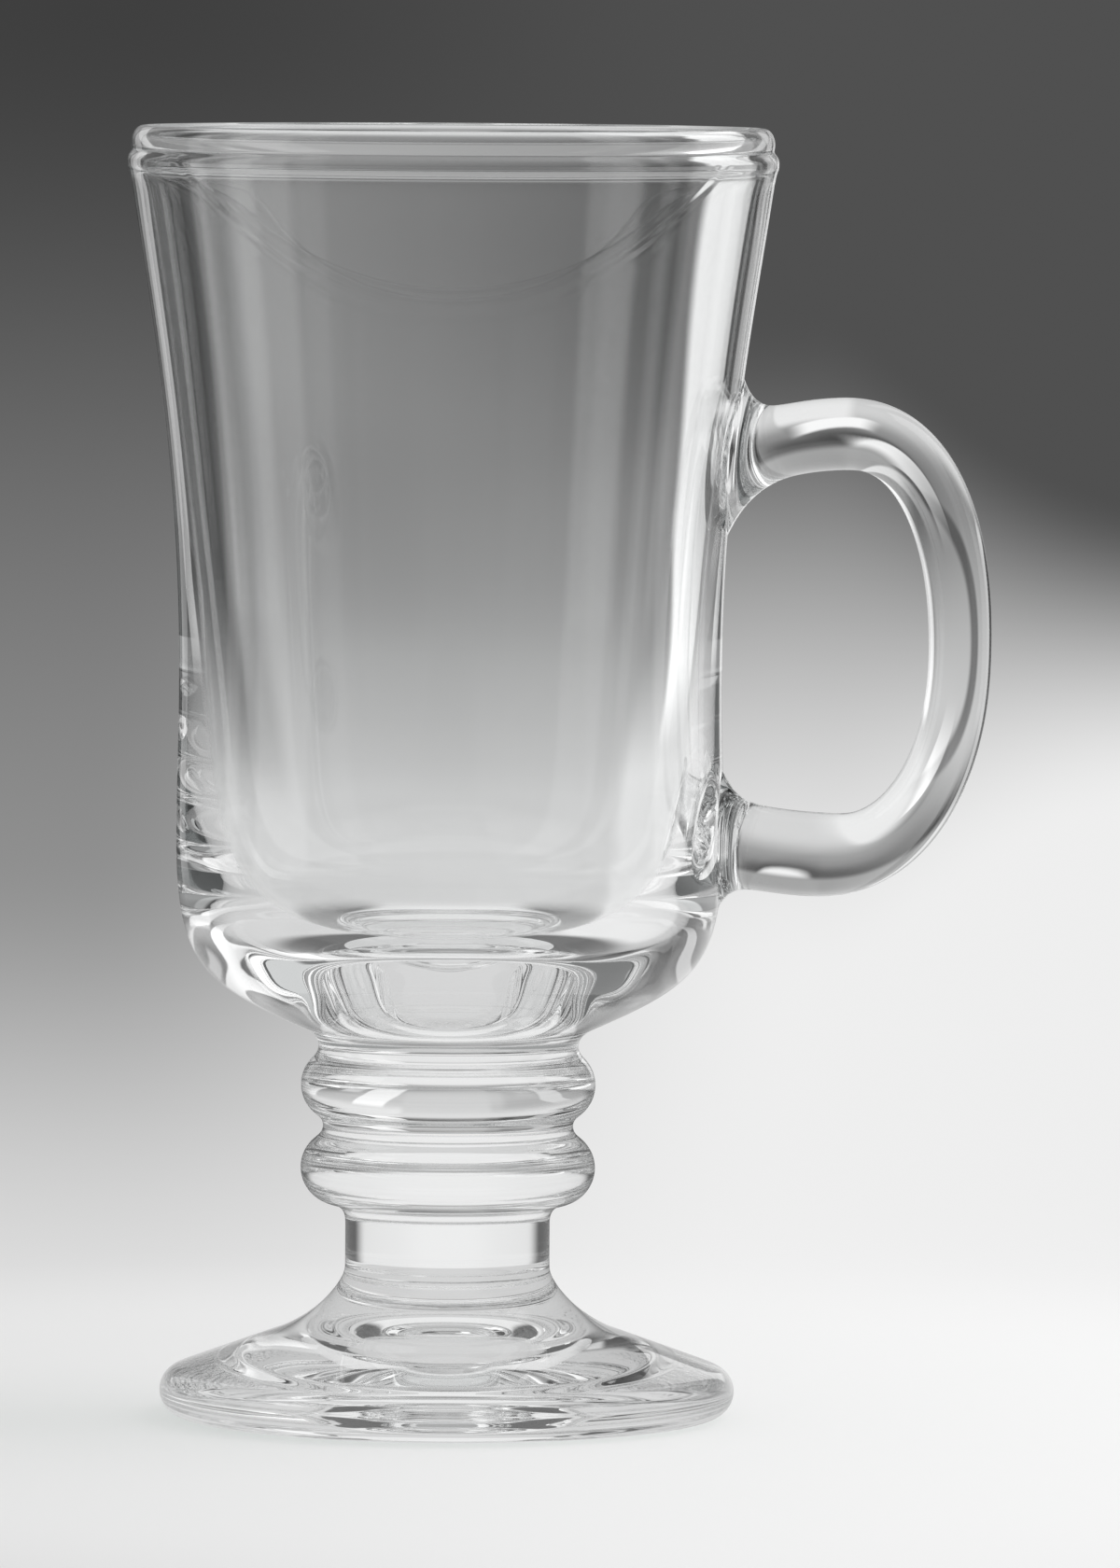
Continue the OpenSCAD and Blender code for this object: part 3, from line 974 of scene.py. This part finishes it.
def light_round_mug(paper, turn):
    """What the glass bends in from its sides and front: panels, a paler top and a plain pale front."""
    ramp, total, z = paper.ramp, paper.total, paper.z
    turns = {
        "upright": turn,
        "left": total(turn, ramp(z, *LEFT_LEAN)),
        "right": total(turn, total(ramp(z, *RIGHT_LEAN), ramp(z, *RIGHT_HIGH_LEAN))),
    }
    panels = [panel_light(paper, turns[panel.lean], panel) for panel in PANELS]
    return total(*panels, ramp(z, *TOP_GLOW), ramp(z, *CEILING_GLOW), ramp(paper.y, *FRONT_GLOW))


def shade_behind_mug(paper, turn, backdrop):
    """What is seen through the mug: the backdrop darkened at both sides by painted shade, and a painted
    pool of light straight behind.
    """
    ramp, total, product, z = paper.ramp, paper.total, paper.product, paper.z
    # Painted shade: the backdrop darkened at both sides, where only glass sees it
    side_shade = product(ramp(turn, *LEFT_PAINTED_SHADE), ramp(turn, *RIGHT_PAINTED_SHADE))
    side_shaded = product(backdrop, paper.faded(side_shade, paper.window(z, *PAINTED_SHADE_HEIGHTS)))
    # A painted pool of light straight behind the mug, pale low down and dimmer higher up
    pool = total(ramp(z, *POOL_LOW), ramp(z, *POOL_HIGH))
    slant = paper.faded(ramp(turn, *POOL_SLANT), ramp(z, *SLANT_HEIGHT))
    straight = ramp(paper.math("ABSOLUTE", paper.side), *POOL_SIDES)
    kept = paper.math("MAXIMUM", ramp(paper.y, *BACK_HALF), ramp(z, *FLOOR_HEIGHT))
    both = total(product(side_shaded, paper.rest(straight)), product(pool, slant, straight))
    return product(both, kept)


def tent_paper():
    """Lit paper near the mug, and a glowing shade further out. Only glass sees the panels, the painted side
    shade and the painted pool of light.
    """
    material, paper = new_material("paper", Paper)
    total, product = paper.total, paper.product
    far = paper.math("SQRT", total(product(paper.x, paper.x), product(paper.y, paper.y)))
    turn = paper.turn()
    paper.seen_from(far)
    backdrop = paper.backdrop()
    through_glass = total(shade_behind_mug(paper, turn, backdrop), light_round_mug(paper, turn))
    bent = paper.bent_ray()
    shade = total(product(backdrop, paper.rest(bent)), product(through_glass, bent))
    # The lit paper's colour holds painted shade, darker at the left than at the right.
    matt = paper.add("ShaderNodeBsdfDiffuse")
    paper.put(matt.inputs["Color"], paper.ramp(paper.side, *MATT_SHADE_SIDES))
    unlit = paper.math("MAXIMUM", paper.ramp(far, LIT_R, UNLIT_R), bent)
    seen = paper.blend(unlit, matt.outputs["BSDF"], paper.glow(shade))
    back = paper.add("ShaderNodeNewGeometry").outputs["Backfacing"]
    diffuse = paper.add("ShaderNodeLightPath").outputs["Is Diffuse Ray"]
    passed = paper.math("MAXIMUM", back, diffuse)
    paper.finish(paper.blend(passed, seen, paper.clear()))
    return material


# Cards near the mug, in metres. The two upright ones hang behind the handle's middle plane.
CARD_BEHIND = 0.012

# The grip's card, glowing and seen only by glass: its soft edges, how much paler it gets upwards as painted
# light, and its dark strip of painted shade
GRIP_CARD_X, GRIP_CARD_Z = (0.05, 0.068), (0.058, 0.122)
GRIP_ACROSS, GRIP_UPRIGHT = (0.05, 0.054, 0.064, 0.068), (0.068, 0.084, 0.1, 0.118)
GRIP_PALER = (0.08, 0.1, 1.0, 1.25)
GRIP_SHADE_STRIP_X, GRIP_SHADE_STRIP = 0.0572, (0.0004, 0.0011, 0.3, 1.0)

# The upper arm's card and the bright strip on it, a painted highlight that only glass sees
ARM_CARD_X, ARM_CARD_Z = (0.038, 0.05), (0.111, 0.1145)
ARM_ACROSS, ARM_UPRIGHT = (0.039, 0.042, 0.047, 0.049), (0.1118, 0.1122, 0.1132, 0.1136)

# The skirt, a glowing round seen only by glass: its soft top, and its dark sides of painted shade by turn
# in degrees from the back either way
SKIRT_R, SKIRT_Z = 0.026, (0.013, 0.044)
SKIRT_TOP = (0.034, 0.044, 1.0, 0.0)
SKIRT_DARK_TURNS = (20, 32, 130, 165)
SKIRT_GLOW, SKIRT_DARKER = 0.86, -0.74


def hang(name, vertices, faces, shade):
    """Hangs a card near the mug that only glass sees. shade gives its glow and how solid it is."""
    mesh = bpy.data.meshes.new(name)
    mesh.from_pydata(vertices, [], faces)
    card = bpy.data.objects.new(name, mesh)
    card.visible_camera = card.visible_shadow = card.visible_diffuse = False
    bpy.context.scene.collection.objects.link(card)
    material, paper = new_material(name + "_paper", Paper)
    glow, share = shade(paper)
    paper.finish(paper.blend(share, paper.clear(), paper.glow(glow)))
    mesh.materials.append(material)


def hang_upright(name, across, upright, shade):
    """Hangs a card that faces the camera, from its ends across and its ends upright."""
    (left, right), (low, high) = across, upright
    corners = [(left, low), (right, low), (right, high), (left, high)]
    hang(name, [(x, CARD_BEHIND, z) for x, z in corners], [(0, 1, 2, 3)], shade)


def handle_shade(paper):
    """The backdrop's own shade, a little paler higher up as painted light, with a narrow dark strip of
    painted shade.
    """
    paper.seen_from(paper.y)
    # A narrow strip of painted shade, for the dark streak in the grip
    from_strip = paper.math("ABSOLUTE", paper.math("SUBTRACT", paper.x, GRIP_SHADE_STRIP_X))
    strip = paper.ramp(from_strip, *GRIP_SHADE_STRIP)
    glow = paper.product(paper.backdrop(), paper.ramp(paper.z, *GRIP_PALER), strip)
    upright, across = paper.window(paper.z, *GRIP_UPRIGHT), paper.window(paper.x, *GRIP_ACROSS)
    return glow, paper.product(upright, across)


def make_handle_glow_card():
    """A glowing card close behind the grip, seen only by glass, that paints light and a dark streak of
    shade into the grip.
    """
    hang_upright("handle_glow_card", GRIP_CARD_X, GRIP_CARD_Z, handle_shade)


def glint_shade(paper):
    """A bright strip with soft ends: a painted highlight."""
    return 1.0, paper.product(paper.window(paper.x, *ARM_ACROSS), paper.window(paper.z, *ARM_UPRIGHT))


def make_arm_glint():
    """A small glowing strip close behind the upper arm, seen only by glass: a painted highlight for the
    light line along it.
    """
    hang_upright("arm_glint", ARM_CARD_X, ARM_CARD_Z, glint_shade)


def skirt_shade(paper):
    """Painted light, pale behind the stem and in front of it, painted shade at its sides, and fading out at
    the top.
    """
    dark = paper.window(paper.math("ABSOLUTE", paper.turn()), *SKIRT_DARK_TURNS)
    glow = paper.total(SKIRT_GLOW, paper.product(dark, SKIRT_DARKER))
    return glow, paper.ramp(paper.z, *SKIRT_TOP)


def make_skirt():
    """A low glowing round about the stem, seen only by glass, so that the knops show level bands of painted
    light and shade.
    """
    vertices, faces = [], []
    for k in range(TENT_SIDES):
        w = 2 * math.pi * k / TENT_SIDES
        vertices += [(SKIRT_R * math.cos(w), SKIRT_R * math.sin(w), z) for z in SKIRT_Z]
        a, b = 2 * k, 2 * ((k + 1) % TENT_SIDES)
        faces.append((a, b, b + 1, a + 1))
    hang("skirt", vertices, faces, skirt_shade)


def make_world():
    """Plain soft light all round. The camera sees it as pale as the floor."""
    world = bpy.data.worlds.new("studio")
    bpy.context.scene.world = world
    world.use_nodes = True
    nodes = Nodes(world.node_tree)
    background = nodes.add("ShaderNodeBackground")
    nodes.put(background.inputs["Color"], (1, 1, 1, 1))
    camera_ray = nodes.add("ShaderNodeLightPath").outputs["Is Camera Ray"]
    nodes.put(background.inputs["Strength"], nodes.ramp(camera_ray, 0.0, 1.0, PLAIN_LIGHT, PALE_FLOOR))
    out = nodes.add("ShaderNodeOutputWorld")
    nodes.put(out.inputs["Surface"], background.outputs["Background"])


def make_lamp():
    """One large soft lamp above, for the floor and the mug's pale shadow."""
    lamp_at, lit_point = Vector((0.7, 0.1, 1.0)), Vector((0, 0, 0.05))
    lamp = bpy.data.lights.new("soft_top", "AREA")
    lamp.shape = "DISK"
    lamp.size = 0.9
    lamp.energy = 7.6
    holder = bpy.data.objects.new("soft_top", lamp)
    holder.location = lamp_at
    holder.rotation_euler = (lit_point - lamp_at).to_track_quat("-Z", "Y").to_euler()
    holder.visible_glossy = False
    holder.visible_transmission = False
    bpy.context.scene.collection.objects.link(holder)


def make_camera():
    """A long lens at the photograph's height, tilted down, with its slight roll."""
    aim_x, aim_z = 0.0128, 0.0737
    roll = 0.35
    camera = bpy.data.cameras.new("camera")
    camera.sensor_fit = "AUTO"
    camera.sensor_width = 36
    camera.lens = 309
    camera.clip_start, camera.clip_end = 0.1, 50
    holder = bpy.data.objects.new("camera", camera)
    holder.location = (aim_x, -CAMERA_FAR, CAMERA_HIGH)
    aim = Vector((aim_x, 0, aim_z)) - Vector(holder.location)
    turn = aim.to_track_quat("-Z", "Y").to_matrix().to_4x4()
    holder.rotation_euler = turn.to_euler()
    holder.rotation_euler.rotate_axis("Z", math.radians(roll))
    bpy.context.scene.collection.objects.link(holder)
    bpy.context.scene.camera = holder


def set_view():
    """Plain colours, and enough bounces for light that turns many times in thick glass."""
    bounces, clear_bounces = 16, 40
    scene = bpy.context.scene
    scene.view_settings.view_transform = "Standard"
    scene.cycles.max_bounces = bounces
    scene.cycles.transmission_bounces = bounces
    scene.cycles.glossy_bounces = bounces
    scene.cycles.transparent_max_bounces = clear_bounces


make_camera()
make_glass()
make_tent()
make_handle_glow_card()
make_arm_glint()
make_skirt()
make_world()
make_lamp()
set_view()
